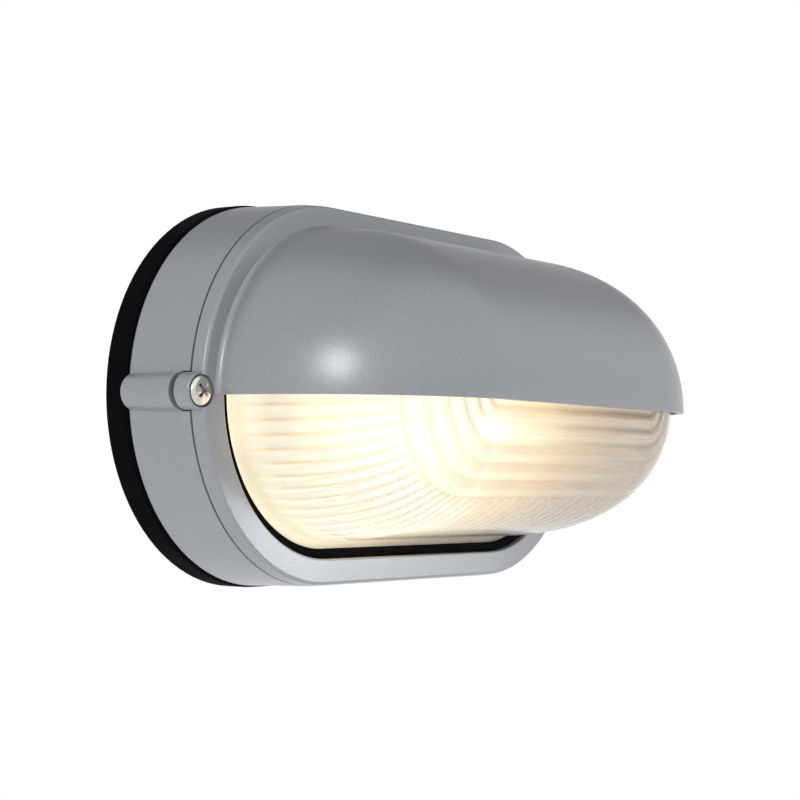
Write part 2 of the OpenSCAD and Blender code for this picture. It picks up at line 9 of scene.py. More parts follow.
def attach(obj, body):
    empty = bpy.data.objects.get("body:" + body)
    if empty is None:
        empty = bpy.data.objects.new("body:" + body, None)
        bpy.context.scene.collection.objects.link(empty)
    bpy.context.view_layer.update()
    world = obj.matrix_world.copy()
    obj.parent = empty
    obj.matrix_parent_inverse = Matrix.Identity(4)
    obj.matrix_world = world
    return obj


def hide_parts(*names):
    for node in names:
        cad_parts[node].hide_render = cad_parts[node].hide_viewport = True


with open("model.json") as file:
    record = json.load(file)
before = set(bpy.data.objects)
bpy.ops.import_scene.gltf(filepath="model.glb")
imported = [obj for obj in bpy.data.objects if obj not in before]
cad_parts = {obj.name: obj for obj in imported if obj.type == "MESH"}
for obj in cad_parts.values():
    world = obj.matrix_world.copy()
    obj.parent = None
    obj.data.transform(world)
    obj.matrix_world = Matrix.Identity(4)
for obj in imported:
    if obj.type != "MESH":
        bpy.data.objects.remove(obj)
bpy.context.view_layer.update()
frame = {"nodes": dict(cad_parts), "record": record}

BODY = {node: body for body, nodes in frame["record"]["behaviour"]["bodies"].items() for node in nodes}

# Sizes are in mm. A point is across the wall, up it and out from it
MM = 0.001
HALF_L = 46.0

# Frame of the cover: rim, skirt, sloping face and opening
RIM_R, RIM_SET = 57.6, 0.5
SKIRT_IN, SKIRT_OUT, SKIRT_SET, SKIRT_CUT = 55.1, 31.0, 0.1, 0.25
FACE, UNDER, OPEN_R = 36.0, 33.4, 49.2
EDGE_R, EDGE_DEEP = 1.3, 1.7
LIP_R, LIP_DEEP = 0.6, 0.15
FACE_TURN = 82

# Eyelid visor and its fillet
VISOR_R, VISOR_DROP, VISOR_THK, VISOR_P, NOSE = 52.0, 1.9, 2.2, 0.89, 101.0
VISOR_FILLET, FILLET_DEEP = 2.4, 0.35
VISOR_ROOT, VISOR_STEP = UNDER + 0.6, UNDER + 1.9

# Screw lugs and their bores
SCREW_X, SCREW_DROP, BOSS_R = 103.5, 1.1, 5.3
LUG_BACK, LUG_FRONT, LUG_CUT, LUG_ROUND = 29.2, 34.8, 0.3, 0.7
SEAT, BORE_R, HEAD_ROOM_R = 33.8, 2.05, 4.65
ROOM_BACK, BORE_BACK, BORE_FRONT = LUG_BACK - 2, LUG_BACK - 1, 45.0
SCREWS = {"cover_screw_left": (-SCREW_X, -SCREW_DROP), "cover_screw_right": (SCREW_X, -SCREW_DROP)}

# Cover screws: pan head, shank and thread
HEAD_R, HEAD_H, HEAD_CUT, HEAD_WALL = 4.3, 2.4, 0.15, 0.9
SHOULDER_W, SHOULDER_H = 1.5, 1.1
CROWN = ((2.0, 2.25), (0.9, 2.36))
SEAT_GAP = 0.03
SHANK_R, SHANK_TIP, SHANK_SINK = 1.7, 13.2, 0.05
SCREW_PITCH, SCREW_GROOVE = 0.8, 0.28

# A slot of the cross recess, from its floor up: half width, half thickness and depth
CROSS_W = 2.5
CROSS_RINGS = ((0.45 * CROSS_W, 0.3, 1.9), (CROSS_W, 0.5, 0.2), (1.05 * CROSS_W, 0.54, -1.0))

# Both threads: the points in a pitch, and the chamfer at the start
THREAD_POINTS, TIP_LEN, TIP_CUT = 6, 0.3, 0.25

# Sides of the round pieces
LUG_SIDES, HEAD_SIDES, SHANK_SIDES = 64, 64, 28
BULB_SIDES, CAP_SIDES, TIP_SIDES, LEAD_SIDES = 72, 48, 32, 16

# Glass: dome, flared foot, ring ribs and radial ribs
GLASS_R, GLASS_NOSE, GLASS_P, GLASS_THK = 43.8, 97.2, 0.84, 3.0
GLASS_TOP, GLASS_LOW, GLASS_RIM = 32.6, 30.4, 51.5
COLLAR, FLARE, FLARE_GAP = 1.0, 2.3, 1.5
RING_PITCH, RING_N, RING_POINTS = 4.7, 6, 8
RIB_STEP, SIDE_RIBS, RIB_POINTS, RAY_POINTS = 6.0, 18, 6, 18
RIB_H, RAY_SHARE = 0.7, 0.7
RAY_FOOT, FOOT_SHARE = GLASS_TOP + 2.8, 0.45
RING_EDGE = RING_N * RING_PITCH

# Rubber ring round the glass
GASKET_R, GASKET_IN, GASKET_BACK, GASKET_FOOT = 54.8, 46.2, 29.6, 2.5
GASKET_LIP, GASKET_ROUND, GASKET_PLAY = UNDER + 1.4, 0.5, 0.1

# Lamp: ball, neck, threaded cap, insulator and contact
LAMP_X, LAMP_OUT, LAMP_R = -28.0, 48.0, 30.0
NECK_TURN, NECK_SET, NECK_CURVE = 40, 0.6, 1.6
CAP_X, CAP_LEN, CAP_R = 20.0, 24.0, 13.0
CAP_PITCH, CAP_GROOVE = 3.6, 1.0
CAP_END = CAP_X + CAP_LEN
THREAD_END, CONE_END, TIP_START = CAP_END - 5, CAP_END - 1.2, CAP_END - 1.3
CONE_R, CONE_END_R = CAP_R - 1.2, CAP_R - 5
TIP_R, TIP_FACE_R, CONTACT_X = 4.6, 4.2, 45.5
TIP_WALL, TIP_FACE = CONTACT_X - 1.0, CONTACT_X - 0.62

# Leads from the terminals to the lampholder
HOLDER_R, LEAD_IN, LEAD_HOLE = 21.0, 61.0, 5.0
TERM_END, TERM_OUT, TERM_PITCH, CABLE_X = -66.0, 17.75, 10.0, -44.0
LEAD_R, LEAD_GRIP, LEAD_RUN, LEAD_LANE = 1.2, 6.0, 4.0, 25.0
LEAD_LOW, LEAD_CLIMB, LEAD_STAND, LEAD_BEND = 12.4, 10.0, 6.0, 6.0
BEND_SHARE, BEND_POINTS = 0.45, 8

# Edges of small pieces in mm, distances in metres at which points are joined, and an angle that counts as flat
FINE_EDGE = 0.12
WELD, CUT_WELD, CAD_WELD, NO_LENGTH = 1e-6, 1e-5, 2e-6, 1e-7
FLAT_ANGLE = 0.6

# Camera fitted to the photo: degrees, metres, and pixels of its frame
VIEW_AZ, VIEW_EL, VIEW_ROLL = -55.68, -2.135, 0.872
VIEW_OUT, VIEW_DIST = 41.04, 0.6082
FRAME_PX, FOCAL_PX, CENTRE_PX = 800, 1902.72, (429.86, 401.24)
SENSOR = 36

# Colours, and the range that holds most values of a noise
WHITE = (1.0, 1.0, 1.0)
BLACK = (0.0, 0.0, 0.0)
NOISE_LOW, NOISE_HIGH = 0.3, 0.7

# Simple surfaces: scale of the broad noise, shares of both noises, change of gloss, strength of relief
BROAD_SCALE, FINE_SHARE, BROAD_SHARE = 0.06, 0.6, 0.4
GLOSS_SPREAD, RELIEF = 0.15, 0.4

# Glass: sharpness of the painted shade lines between ribs, and the width in mm where the painted ring lines
# give way to radial ones
GLASS_IOR, LINE_SHARP, RING_FADE = 1.5, 7.0, 1.2

# Floor in metres, its glow, and the share of that glow in lighting and in view
FLOOR_SIZE, FLOOR_UP = 4.0, -0.45
FLOOR_GLOW, GLOW_LIT, GLOW_SEEN = 1.055, 0.66, 0.93


# Mesh helpers
def place(x, up, out):
    """A point of the scene, in metres."""
    return Vector((x * MM, -out * MM, up * MM))


def quarter_turn(n, first=0):
    """Angles from 0 to 90 degrees in n steps."""
    return [math.pi / 2 * i / n for i in range(first, n + 1)]


def arc(cx, cy, r, start, end, n):
    """Points of a circle between two angles in degrees."""
    angles = [math.radians(start + (end - start) * i / n) for i in range(n + 1)]
    return [(cx + r * math.cos(a), cy + r * math.sin(a)) for a in angles]


def dome(r, base, depth, p, n):
    """Radius and distance out over a dome, from its foot to its nose."""
    points = [(r * math.cos(a) ** p, base + depth * math.sin(a) ** p) for a in quarter_turn(n)]
    return points[:-1] + [(0.0, base + depth)]


def dome_out(x, r, base, depth, p):
    """Distance out of the same dome at a radius."""
    return base + depth * max(0.0, 1 - (x / r) ** (2 / p)) ** (p / 2)


def oval_path(n_end=72, n_side=24, upper=False):
    """Stations round the oval: centre across, and the outward direction."""
    def end(x, start, stop):
        return [(x, math.radians(start + (stop - start) * i / n_end)) for i in range(n_end + 1)]

    def side(x, angle):
        return [(x - 2 * x * i / n_side, angle) for i in range(1, n_side)]

    top = side(HALF_L, math.pi / 2)
    if upper:
        return end(HALF_L, 0, 90) + top + end(-HALF_L, 90, 180)
    return end(HALF_L, -90, 90) + top + end(-HALF_L, 90, 270) + side(-HALF_L, -math.pi / 2)


def skin(bm, rows, wrap_rows, wrap_cols):
    """Quads between rows of points."""
    grid = [[bm.verts.new(p) for p in row] for row in rows]
    nr, nc = len(grid), len(grid[0])
    for i in range(nr if wrap_rows else nr - 1):
        here, there = grid[i], grid[(i + 1) % nr]
        for j in range(nc if wrap_cols else nc - 1):
            k = (j + 1) % nc
            bm.faces.new((here[j], there[j], there[k], here[k]))
    return grid


def tube(bm, rings):
    """A skin over rings of points, closed at both ends."""
    grid = skin(bm, rings, False, True)
    bm.faces.new(grid[0])
    bm.faces.new(list(reversed(grid[-1])))


def sweep_oval(bm, profile, path, closed=True, drop=0.0):
    """Carry a profile of radius and distance out along a path."""
    rows = [[place(x + r * math.cos(a), r * math.sin(a) - drop, out) for r, out in profile] for x, a in path]
    if closed:
        skin(bm, rows, True, True)
    else:
        tube(bm, rows)


def around(centre, r, along, a, along_x):
    """A point at an angle round the out axis, or the across axis."""
    one, two = centre[0] + r * math.cos(a), centre[1] + r * math.sin(a)
    return place(along, one, two) if along_x else place(one, two, along)


def turn(bm, profile, centre, n, along_x=False):
    """Revolve a profile of radius and position."""
    rows = [[around(centre, r, t, 2 * math.pi * i / n, along_x) for r, t in profile] for i in range(n)]
    skin(bm, rows, True, False)


def thread(bm, centre, r, low, high, pitch, groove, n, along_x=False):
    """A closed threaded rod between two positions."""
    steps = int((high - low) / pitch * THREAD_POINTS)
    rows = []
    for i in range(n):
        profile = [(0, low), (r - groove - TIP_CUT, low)]
        for k in range(steps + 1):
            t = low + TIP_LEN + (high - low - TIP_LEN) * k / steps
            phase = (t / pitch - i / n) % 1.0
            profile.append((r - groove * abs(2 * phase - 1), t))
        profile.append((0, high))
        rows.append([around(centre, x, t, 2 * math.pi * i / n, along_x) for x, t in profile])
    skin(bm, rows, True, False)


def clean(bm, dist=WELD):
    """Join close points, close slits and turn the faces outward."""
    bmesh.ops.remove_doubles(bm, verts=bm.verts, dist=dist)
    bmesh.ops.dissolve_degenerate(bm, edges=bm.edges, dist=NO_LENGTH)
    bmesh.ops.holes_fill(bm, edges=[e for e in bm.edges if e.is_boundary], sides=4)
    bmesh.ops.recalc_face_normals(bm, faces=bm.faces)


def to_object(name, bm):
    clean(bm)
    mesh = bpy.data.meshes.new(name)
    bm.to_mesh(mesh)
    bm.free()
    obj = bpy.data.objects.new(name, mesh)
    bpy.context.scene.collection.objects.link(obj)
    return obj


def reopen(obj):
    bm = bmesh.new()
    bm.from_mesh(obj.data)
    return bm


def write_back(bm, obj):
    clean(bm, CUT_WELD)
    bm.to_mesh(obj.data)
    bm.free()


def applied(obj):
    """The object with its modifiers worked into its mesh."""
    graph = bpy.context.evaluated_depsgraph_get()
    mesh = bpy.data.meshes.new_from_object(obj.evaluated_get(graph), depsgraph=graph)
    obj.modifiers.clear()
    obj.data = mesh
    return obj


def combine(obj, tools, operation):
    """Join the tools to the object, or cut them from it."""
    for tool in tools:
        mod = obj.modifiers.new("join", "BOOLEAN")
        mod.operation = operation
        mod.solver = "EXACT"
        mod.object = tool
    applied(obj)
    for tool in tools:
        bpy.data.objects.remove(tool)
    return obj


def smooth(obj, angle=30):
    """Smooth shading, with edges sharper than the angle kept."""
    for face in obj.data.polygons:
        face.use_smooth = True
    obj.data.set_sharp_from_angle(angle=math.radians(angle))
    mod = obj.modifiers.new("even", "WEIGHTED_NORMAL")
    mod.keep_sharp = True
    return applied(obj)


def bevel(obj, width, segments=2, angle=30):
    """Round the edges that are sharper than the angle."""
    mod = obj.modifiers.new("edge", "BEVEL")
    mod.width = width * MM
    mod.segments = segments
    mod.limit_method = "ANGLE"
    mod.angle_limit = math.radians(angle)
    mod.use_clamp_overlap = True
    mod.harden_normals = False
    return applied(obj)


def stand_for(obj, node, *materials):
    """Put a dressed piece in the place of its CAD node."""
    for material in materials:
        obj.data.materials.append(material)
    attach(obj, BODY[node])
    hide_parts(node)


# Material helpers
class Nodes:
    """The node tree of a material or of the world."""

    def __init__(self, owner):
        owner.use_nodes = True
        self.owner = owner
        self.tree = owner.node_tree
        self.shader = self.tree.nodes.get("Principled BSDF")

    def add(self, kind, **values):
        node = self.tree.nodes.new(kind)
        for key, value in values.items():
            setattr(node, key, value)
        return node

    def feed(self, socket, value):
        """Link a socket to another one, or set its value."""
        if isinstance(value, bpy.types.NodeSocket):
            self.tree.links.new(value, socket)
        else:
            socket.default_value = value

    def coords(self, kind="Object"):
        return self.add("ShaderNodeTexCoord").outputs[kind]

    def xyz(self, kind="Object"):
        node = self.add("ShaderNodeSeparateXYZ")
        self.feed(node.inputs[0], self.coords(kind))
        return node.outputs

    def calc(self, operation, *values):
        node = self.add("ShaderNodeMath", operation=operation)
        for socket, value in zip(node.inputs, values):
            self.feed(socket, value)
        return node.outputs[0]

    def noise(self, scale, detail=3.0, rough=0.55):
        node = self.add("ShaderNodeTexNoise")
        node.inputs["Scale"].default_value = scale
        node.inputs["Detail"].default_value = detail
        node.inputs["Roughness"].default_value = rough
        self.feed(node.inputs["Vector"], self.coords())
        return node.outputs["Fac"]

    def ramp(self, value, stops):
        """A colour for a value, from stops of position and colour."""
        node = self.add("ShaderNodeValToRGB")
        elements = node.color_ramp.elements
        while len(elements) < len(stops):
            elements.new(0.5)
        for element, (position, colour) in zip(elements, stops):
            element.position = position
            element.color = (*colour, 1)
        self.feed(node.inputs["Fac"], value)
        return node.outputs["Color"]

    def span(self, value, from_low, from_high, to_low, to_high, kind="SMOOTHSTEP"):
        """Carry a value from one range to another, held at its ends."""
        node = self.add("ShaderNodeMapRange", interpolation_type=kind)
        for socket, given in zip(node.inputs, (value, from_low, from_high, to_low, to_high)):
            self.feed(socket, given)
        return node.outputs[0]

    def mix_numbers(self, share, one, two):
        node = self.add("ShaderNodeMix", data_type="FLOAT")
        for i, value in ((0, share), (2, one), (3, two)):
            self.feed(node.inputs[i], value)
        return node.outputs[0]

    def mix_colours(self, blend, share, one, two):
        node = self.add("ShaderNodeMix", data_type="RGBA", blend_type=blend)
        for i, value in ((0, share), (6, one), (7, two)):
            self.feed(node.inputs[i], value)
        return node.outputs[2]

    def bump(self, height, strength, distance):
        node = self.add("ShaderNodeBump")
        node.inputs["Strength"].default_value = strength
        node.inputs["Distance"].default_value = distance * MM
        self.feed(node.inputs["Height"], height)
        self.feed(self.shader.inputs["Normal"], node.outputs["Normal"])

    def set(self, **values):
        """Feed the shader's own sockets, named with _ for each space."""
        for key, value in values.items():
            self.feed(self.shader.inputs[key.replace("_", " ")], value)

    def light(self, kind, colour, strength):
        node = self.add(kind)
        self.feed(node.inputs["Color"], (*colour, 1))
        self.feed(node.inputs["Strength"], strength)
        return node.outputs[0]

    def seen(self, path):
        """One for rays from the camera, from a gloss or through glass, else zero."""
        bounced = self.calc("MAXIMUM", path["Is Glossy Ray"], path["Is Transmission Ray"])
        return self.calc("MAXIMUM", path["Is Camera Ray"], bounced)

    def show(self, output, share, one, two):
        """Mix two shaders into the output."""
        node = self.add("ShaderNodeMixShader")
        for socket, value in zip(node.inputs, (share, one, two)):
            self.feed(socket, value)
        self.feed(self.tree.nodes[output].inputs["Surface"], node.outputs[0])


def new_material(name):
    return Nodes(bpy.data.materials.new(name))


def shade(colour, share):
    return tuple(min(1.0, v * share) for v in colour)


def simple(name, colour, rough, metal=0.0, scale=900.0, spread=0.16, bump=0.02, **more):
    """A surface with fine variation in colour, gloss and relief."""
    m = new_material(name)
    fine, broad = m.noise(scale), m.noise(scale * BROAD_SCALE, 4)
    both = m.calc("MULTIPLY_ADD", fine, FINE_SHARE, m.calc("MULTIPLY", broad, BROAD_SHARE))
    stops = [(NOISE_LOW, shade(colour, 1 - spread)), (NOISE_HIGH, shade(colour, 1 + spread))]
    low, high = rough * (1 - GLOSS_SPREAD), min(1.0, rough * (1 + GLOSS_SPREAD))
    gloss = m.span(broad, NOISE_LOW, NOISE_HIGH, low, high)
    m.set(Base_Color=m.ramp(both, stops), Roughness=gloss, Metallic=metal, **more)
    m.bump(fine, RELIEF, bump)
    return m.owner


def silver_coat():
    """Grey metallic paint: fine flakes, and gloss that changes slowly."""
    m = new_material("silver_coat")
    flake = m.ramp(m.noise(2600, 2, 0.7), [(0.36, (0.340, 0.354, 0.376)), (0.52, (0.376, 0.391, 0.414)),
                                           (0.68, (0.432, 0.447, 0.470))])
    gloss = m.span(m.noise(28, 3), 0.0, 1.0, 0.26, 0.34, "LINEAR")
    m.set(Base_Color=flake, Metallic=0.2, Specular_IOR_Level=0.3, Roughness=gloss)
    m.bump(m.noise(1500, 3, 0.6), 0.25, 0.02)
    return m.owner


def rib_phase(m, x, z):
    """Radius from the oval's middle line, and the count of ribs round it."""
    across = m.calc("ABSOLUTE", x)
    past = m.calc("MAXIMUM", m.calc("SUBTRACT", across, HALF_L * MM), 0.0)
    r = m.calc("SQRT", m.calc("ADD", m.calc("MULTIPLY", past, past), m.calc("MULTIPLY", z, z)))
    height = m.calc("MAXIMUM", m.calc("ABSOLUTE", z), 1e-5)
    end_ribs = m.calc("DIVIDE", m.calc("ARCTAN2", past, height), math.radians(RIB_STEP))
    side_ribs = m.calc("DIVIDE", m.calc("MINIMUM", across, HALF_L * MM), 2 * HALF_L * MM / SIDE_RIBS)
    return r, m.calc("ADD", end_ribs, side_ribs)


def rib_shade_lines(m, count):
    """Narrow painted shade lines at whole counts."""
    wave = m.calc("COSINE", m.calc("MULTIPLY", count, 2 * math.pi))
    return m.calc("POWER", m.span(wave, -1.0, 1.0, 0.0, 1.0, "LINEAR"), LINE_SHARP)


def painted_lamp_falloff(m, x):
    """Share of the painted lamp light on the glass: one at the lamp's end, little at the other."""
    return m.span(x, -0.06, 0.02, 1.0, 0.1)


def clear_face():
    """The smooth outside of the glass: hazy, with a faint painted glow at its foot that stands in for the
    lamp's light, stronger at the lamp's end. Here y is minus the distance out.
    """
    m = new_material("glass_face")
    x, y, z = m.xyz()
    haze = m.span(m.noise(500, 3), NOISE_LOW, NOISE_HIGH, 0.12, 0.18)
    foot_haze = m.span(y, -0.050, -0.042, 0.0, 0.45)
    # Painted light: a faint warm emission at the foot, strongest at the lamp's end, stands in for the lamp's
    # light through the glass.
    painted_foot_glow = m.calc("MULTIPLY", m.span(y, -0.046, -0.039, 0.0, 1.0), painted_lamp_falloff(m, x))
    m.set(Base_Color=(0.97, 0.95, 0.90, 1), Transmission_Weight=1.0, IOR=GLASS_IOR,
          Roughness=m.calc("ADD", haze, foot_haze),
          Emission_Color=m.ramp(painted_foot_glow, [(0.0, BLACK), (1.0, (0.13, 0.12, 0.085))]), Emission_Strength=1.0)
    return m.owner


def frosted_ribs():
    """The ribbed inside of the glass: frosted, with a weak painted glow that stands in for the lamp's light,
    and painted shade as tan lines between the ribs.
    """
    m = new_material("glass_ribs")
    x, y, z = m.xyz()
    # Painted light: an emission colour along the glass stands in for the lamp's light. It is strongest near the
    # lamp and dim at the far end, with a warm painted glow added at the foot near the lamp.
    along = m.span(x, -0.09, 0.09, 0.0, 1.0, "LINEAR")
    middle = m.ramp(along, [(0.0, (0.08, 0.08, 0.11)), (0.2, (0.12, 0.13, 0.14)), (0.4, (0.33, 0.24, 0.11)),
                            (0.64, (0.07, 0.03, 0.01)), (0.75, (0.05, 0.03, 0.01))])
    foot = m.calc("MULTIPLY", m.span(y, -0.070, -0.044, 0.0, 1.0), painted_lamp_falloff(m, x))
    glow = m.mix_colours("ADD", foot, middle, (0.46, 0.42, 0.33, 1))

    # Painted shade: tan lines at the grooves of the ring and radial ribs, and a tan band at the foot, darken
    # both the glow and the colour of the glass.
    r, count = rib_phase(m, x, z)
    rays = m.calc("MULTIPLY", rib_shade_lines(m, count), m.span(y, -0.035, -0.040, 0.0, 1.0))
    rings = rib_shade_lines(m, m.calc("DIVIDE", r, RING_PITCH * MM))
    past_rings = m.span(r, RING_EDGE * MM, (RING_EDGE + RING_FADE) * MM, 0.0, 1.0)
    painted_foot_shade = m.span(y, -0.039, -0.035, 0.0, 0.5)
    lines = m.calc("MAXIMUM", m.mix_numbers(past_rings, rings, rays), painted_foot_shade)

    rib_shade_tint = m.ramp(lines, [(0.0, WHITE), (1.0, (0.80, 0.68, 0.48))])
    m.set(Base_Color=m.ramp(lines, [(0.0, (0.97, 0.92, 0.81)), (1.0, (0.85, 0.73, 0.54))]),
          Transmission_Weight=1.0, IOR=GLASS_IOR,
          Roughness=m.span(m.noise(500, 3), NOISE_LOW, NOISE_HIGH, 0.50, 0.57),
          Emission_Color=m.mix_colours("MULTIPLY", 1.0, glow, rib_shade_tint), Emission_Strength=1.0)
    return m.owner


# Cover: frame, eyelid visor and lugs joined to one casting
def make_frame():
    bm = bmesh.new()
    profile = [(SKIRT_IN, SKIRT_OUT), (RIM_R - SKIRT_SET - SKIRT_CUT, SKIRT_OUT),
               (RIM_R - SKIRT_SET, SKIRT_OUT + SKIRT_CUT)]
    profile += arc(RIM_R - RIM_SET - EDGE_R, FACE - EDGE_DEEP, EDGE_R, 0, FACE_TURN, 10)
    profile += arc(OPEN_R + LIP_R, FACE - LIP_DEEP, LIP_R, FACE_TURN, 180, 6)
    profile += [(OPEN_R, UNDER), (SKIRT_IN, UNDER)]
    sweep_oval(bm, profile, oval_path())
    return to_object("cover_casting_skin", bm)


def make_visor():
    bm = bmesh.new()
    depth = NOSE - FACE
    fillet_r = VISOR_R + VISOR_FILLET
    outer = [p for p in dome(VISOR_R, FACE, depth, VISOR_P, 72) if p[1] > FACE + VISOR_FILLET]
    inner = dome(VISOR_R - VISOR_THK, FACE, depth - VISOR_THK, VISOR_P, 48)
    profile = [(VISOR_R, VISOR_ROOT), (fillet_r, VISOR_ROOT)]
    profile += arc(fillet_r, FACE + VISOR_FILLET - FILLET_DEEP, VISOR_FILLET, 270, 180, 10)
    profile += outer + inner[:0:-1]
    profile += [(VISOR_R - VISOR_THK, VISOR_STEP), (VISOR_R, VISOR_STEP)]
    sweep_oval(bm, profile, oval_path(44, upper=True), closed=False, drop=VISOR_DROP)
    return to_object("visor", bm)


def make_lug(centre):
    """A round lug, cut away where the frame is hollow."""
    bm = bmesh.new()
    profile = [(0, LUG_BACK), (BOSS_R - LUG_CUT, LUG_BACK), (BOSS_R, LUG_BACK + LUG_CUT)]
    profile += arc(BOSS_R - LUG_ROUND, LUG_FRONT - LUG_ROUND, LUG_ROUND, 0, 90, 5) + [(0, LUG_FRONT)]
    turn(bm, profile, centre, LUG_SIDES)
    lug = to_object("lug", bm)
    bm = bmesh.new()
    sweep_oval(bm, [(0, ROOM_BACK), (SKIRT_IN, ROOM_BACK), (SKIRT_IN, UNDER), (0, UNDER)], oval_path())
    return combine(lug, [to_object("room", bm)], "DIFFERENCE")


def make_bore(centre):
    bm = bmesh.new()
    turn(bm, [(0, BORE_BACK), (BORE_R, BORE_BACK), (BORE_R, SEAT), (HEAD_ROOM_R, SEAT),
              (HEAD_ROOM_R, BORE_FRONT), (0, BORE_FRONT)], centre, LUG_SIDES)
    return to_object("bore", bm)


def make_cover():
    cover = make_frame()
    combine(cover, [make_visor()] + [make_lug(centre) for centre in SCREWS.values()], "UNION")
    combine(cover, [make_bore(centre) for centre in SCREWS.values()], "DIFFERENCE")
    write_back(reopen(cover), cover)
    bevel(cover, width=0.35, segments=3, angle=50)
    return smooth(cover, angle=32)


# Glass: smooth outside, ring ribs and radial ribs inside
def rib_height(position, pitch):
    return RIB_H * (0.5 - 0.5 * math.cos(2 * math.pi * position / pitch))


def glass_outside():
    """Radius and distance out, from the rim over the flared foot to the nose."""
    flare_h = 2 * FLARE
    points = [(GLASS_RIM, GLASS_TOP), (GLASS_R + FLARE, GLASS_TOP)]
    for a in quarter_turn(6):
        points.append((GLASS_R + FLARE * (1 - math.sin(a)), GLASS_TOP + COLLAR + flare_h * (1 - math.cos(a))))
    over = dome(GLASS_R, GLASS_TOP, GLASS_NOSE - GLASS_TOP, GLASS_P, 44)
    return points + [p for p in over if p[1] > GLASS_TOP + flare_h + FLARE_GAP]


def glass_inside():
    """Radius, distance out and share of a radial rib's height, from the nose to the foot."""
    r_in, depth = GLASS_R - GLASS_THK, GLASS_NOSE - GLASS_TOP - GLASS_THK
    points = []
    n = RING_N * RING_POINTS
    for i in range(n + 1):
        r = RING_EDGE * i / n
        out = dome_out(r, r_in, GLASS_TOP, depth, GLASS_P)
        points.append((r, out - rib_height(r, RING_PITCH), 0.0))
    for i in range(1, RAY_POINTS):
        r = RING_EDGE + (r_in - RING_EDGE) * (1 - (1 - i / RAY_POINTS) ** 2)
        out = dome_out(r, r_in, GLASS_TOP, depth, GLASS_P)
        points.append((r, out, RAY_SHARE * min(1, i / 2)))
    return points + [(r_in, RAY_FOOT, FOOT_SHARE), (r_in, GLASS_TOP + COLLAR, 0.0), (r_in, GLASS_LOW, 0.0)]


def make_glass():
    bm = bmesh.new()
    shell = glass_outside()[::-1] + [(GLASS_RIM, GLASS_LOW)]
    inside = glass_inside()[::-1]
    rows = []
    for k, (x, a) in enumerate(oval_path(int(180 / RIB_STEP) * RIB_POINTS, SIDE_RIBS * RIB_POINTS)):
        rib = rib_height(k, RIB_POINTS)
        section = shell + [(r - share * rib, out - share * rib) for r, out, share in inside]
        rows.append([place(x + r * math.cos(a), r * math.sin(a), out) for r, out in section])
    skin(bm, rows, True, False)
    for k, face in enumerate(bm.faces):
        face.material_index = int(k % (len(rows[0]) - 1) >= len(shell))
    return smooth(to_object("glass_diffuser_skin", bm), angle=40)


def make_glass_gasket():
    bm = bmesh.new()
    foot_r, bend = GLASS_RIM - GASKET_FOOT, GASKET_LIP - GASKET_ROUND
    profile = [(foot_r, GASKET_BACK), (GASKET_R, GASKET_BACK), (GASKET_R, UNDER), (OPEN_R - GASKET_PLAY, UNDER)]
    profile += arc(OPEN_R - GASKET_PLAY - GASKET_ROUND, bend, GASKET_ROUND, 0, 90, 4)
    profile += arc(GASKET_IN + GASKET_ROUND, bend, GASKET_ROUND, 90, 180, 4)
    profile += [(GASKET_IN, GLASS_TOP), (GLASS_RIM, GLASS_TOP), (GLASS_RIM, GLASS_LOW), (foot_r, GLASS_LOW)]
    sweep_oval(bm, profile, oval_path())
    return smooth(to_object("glass_gasket_skin", bm), angle=35)


# Cover screws
def make_slot(centre, angle):
    """One tapering slot of the cross recess, as a tool to cut with."""
    bm = bmesh.new()
    spin = Matrix.Rotation(math.radians(angle), 3, "Y")
    rings = []
    for w, t, depth in CROSS_RINGS:
        middle = place(*centre, SEAT + HEAD_H - depth)
        rings.append([middle + spin @ place(x, up, 0) for x, up in ((-w, -t), (w, -t), (w, t), (-w, t))])
    tube(bm, rings)
    return to_object("recess", bm)


def make_screw(name, centre):
    bm = bmesh.new()
    head = [(0, SEAT + SEAT_GAP), (HEAD_R - HEAD_CUT, SEAT + SEAT_GAP), (HEAD_R, SEAT + HEAD_CUT),
            (HEAD_R, SEAT + HEAD_WALL)]
    for a in quarter_turn(8, 1):
        head.append((HEAD_R - (1 - math.cos(a)) * SHOULDER_W, SEAT + HEAD_WALL + SHOULDER_H * math.sin(a)))
    head += [(r, SEAT + up) for r, up in CROWN] + [(0, SEAT + HEAD_H)]
    turn(bm, head, centre, HEAD_SIDES)
    screw = to_object(name, bm)
    combine(screw, [make_slot(centre, angle) for angle in (45, 135)], "DIFFERENCE")
    bevel(screw, width=FINE_EDGE, angle=45)
    bm = reopen(screw)
    thread(bm, centre, SHANK_R, SHANK_TIP, SEAT + SHANK_SINK, SCREW_PITCH, SCREW_GROOVE, SHANK_SIDES)
    write_back(bm, screw)
    return smooth(screw, angle=35)


# Lamp
def bulb_profile():
    """Radius and position across, from the ball's end over the neck to the cap."""
    join = math.radians(NECK_TURN)
    join_x, join_r = LAMP_X + LAMP_R * math.sin(join), LAMP_R * math.cos(join)
    neck_r = CAP_R - NECK_SET
    n_ball, n_neck = 36, 16
    points = [(0.0, LAMP_X - LAMP_R)]
    for i in range(1, n_ball + 1):
        a = -math.pi / 2 + (math.pi / 2 + join) * i / n_ball
        points.append((LAMP_R * math.cos(a), LAMP_X + LAMP_R * math.sin(a)))
    for i in range(1, n_neck + 1):
        t = i / n_neck
        points.append((neck_r + (join_r - neck_r) * (1 - t) ** NECK_CURVE, join_x + (CAP_X - join_x) * t))
    return points + [(0, CAP_X)]


